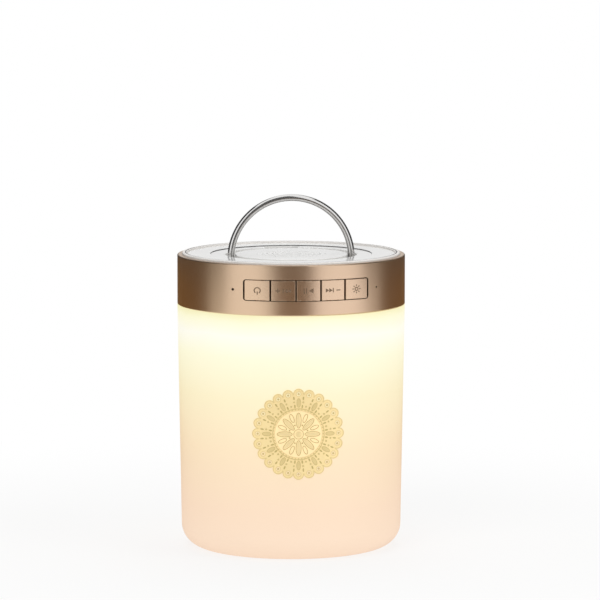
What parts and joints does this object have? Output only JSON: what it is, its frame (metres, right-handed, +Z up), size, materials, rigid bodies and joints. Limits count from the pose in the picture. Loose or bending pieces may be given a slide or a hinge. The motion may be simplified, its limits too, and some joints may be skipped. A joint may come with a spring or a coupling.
{
  "type": "speaker lamp",
  "caption": "Portable lamp with a speaker: a frosted tapered shade under a metal band of push buttons, with a round cover and a folding wire carry ring.",
  "frame": {"origin": "centre of the shade's flat end, on which the lamp stands", "axes": "+Z up through the shade and the carry ring, buttons facing -Y, charging socket facing +Y"},
  "size_m": [0.11, 0.11, 0.1708],
  "materials": {
    "frosted_shade": "frosted, translucent, lit from inside",
    "gold_plaque": "satin gold",
    "champagne_metal": "satin champagne gold",
    "champagne_button": "satin champagne gold",
    "white_gloss": "glossy white",
    "white_grille": "satin white",
    "pale_lip": "pale matt lip",
    "bright_wire": "polished steel",
    "plain_steel": "plain steel",
    "inner_plastic": "moulded white",
    "black_frame": "black stamped steel",
    "ferrite": "dark grey ferrite",
    "cone_paper": "black paper",
    "coil_copper": "copper winding",
    "black_rubber": "soft black",
    "spider_cloth": "treated cloth",
    "circuit_board": "green board",
    "lamp_board": "white coated metal board",
    "lamp_chip": "warm light chip",
    "black_moulding": "black moulded",
    "connector_white": "cream moulded",
    "battery_wrap": "blue wrap",
    "can_aluminium": "bright can",
    "lead_cover": "red lead cover",
    "indicator_lens": "clear lens"
  },
  "bodies": {
    "lamp_body": {"shade": "frosted_shade", "medallion": "gold_plaque", "band": "champagne_metal", "base_cover": "white_gloss", "foot_ring": "pale_lip", "ring_pins": "plain_steel", "speaker_grille": "white_grille", "speaker_gasket": "black_rubber", "speaker_top_plate": "plain_steel", "speaker_magnet": "ferrite", "speaker_frame": "black_frame", "speaker_yoke": "plain_steel", "speaker_surround": "black_rubber", "speaker_spider": "spider_cloth", "speaker_screws": "plain_steel", "chassis": "inner_plastic", "cover_screws": "plain_steel", "button_guide": "black_moulding", "guide_screws": "plain_steel", "button_board": "circuit_board", "switch_bodies": "black_moulding", "microphone": "can_aluminium", "indicator_light": "indicator_lens", "battery_pack": "battery_wrap", "main_board": "circuit_board", "board_screws": "plain_steel", "radio_module": "can_aluminium", "amplifier_chip": "black_moulding", "capacitors": "can_aluminium", "board_connectors": "connector_white", "lead_wires": "lead_cover", "charging_socket": "plain_steel", "light_board": "lamp_board", "light_chips": "lamp_chip", "light_board_screws": "plain_steel"},
    "carry_ring": {"carry_ring": "bright_wire"},
    "speaker_diaphragm": {"speaker_cone": "cone_paper", "dust_cap": "cone_paper", "voice_coil": "coil_copper"},
    "button_1": {"button_cap_1": "champagne_button", "switch_plunger_1": "black_moulding"},
    "button_2": {"button_cap_2": "champagne_button", "switch_plunger_2": "black_moulding"},
    "button_3": {"button_cap_3": "champagne_button", "switch_plunger_3": "black_moulding"},
    "button_4": {"button_cap_4": "champagne_button", "switch_plunger_4": "black_moulding"},
    "button_5": {"button_cap_5": "champagne_button", "switch_plunger_5": "black_moulding"}
  },
  "joints": [
    {"name": "ring_fold", "type": "hinge", "parent": "lamp_body", "child": "carry_ring", "pos_m": [0, 0, 0.1397], "axis": [1, 0, 0], "range_deg": [-90, 90]},
    {"name": "button_1_press", "type": "slide", "parent": "lamp_body", "child": "button_1", "axis": [0, 1, 0], "range_m": [0, 0.0008], "stiffness_N_per_m": 600, "springref_m": -0.001},
    {"name": "button_2_press", "type": "slide", "parent": "lamp_body", "child": "button_2", "axis": [0, 1, 0], "range_m": [0, 0.0008], "stiffness_N_per_m": 600, "springref_m": -0.001},
    {"name": "button_3_press", "type": "slide", "parent": "lamp_body", "child": "button_3", "axis": [0, 1, 0], "range_m": [0, 0.0008], "stiffness_N_per_m": 600, "springref_m": -0.001},
    {"name": "button_4_press", "type": "slide", "parent": "lamp_body", "child": "button_4", "axis": [0, 1, 0], "range_m": [0, 0.0008], "stiffness_N_per_m": 600, "springref_m": -0.001},
    {"name": "button_5_press", "type": "slide", "parent": "lamp_body", "child": "button_5", "axis": [0, 1, 0], "range_m": [0, 0.0008], "stiffness_N_per_m": 600, "springref_m": -0.001},
    {"name": "diaphragm_travel", "type": "slide", "parent": "lamp_body", "child": "speaker_diaphragm", "axis": [0, 0, 1], "range_m": [-0.0012, 0.0012], "stiffness_N_per_m": 800, "deforming": ["speaker_surround", "speaker_spider"]}
  ]
}
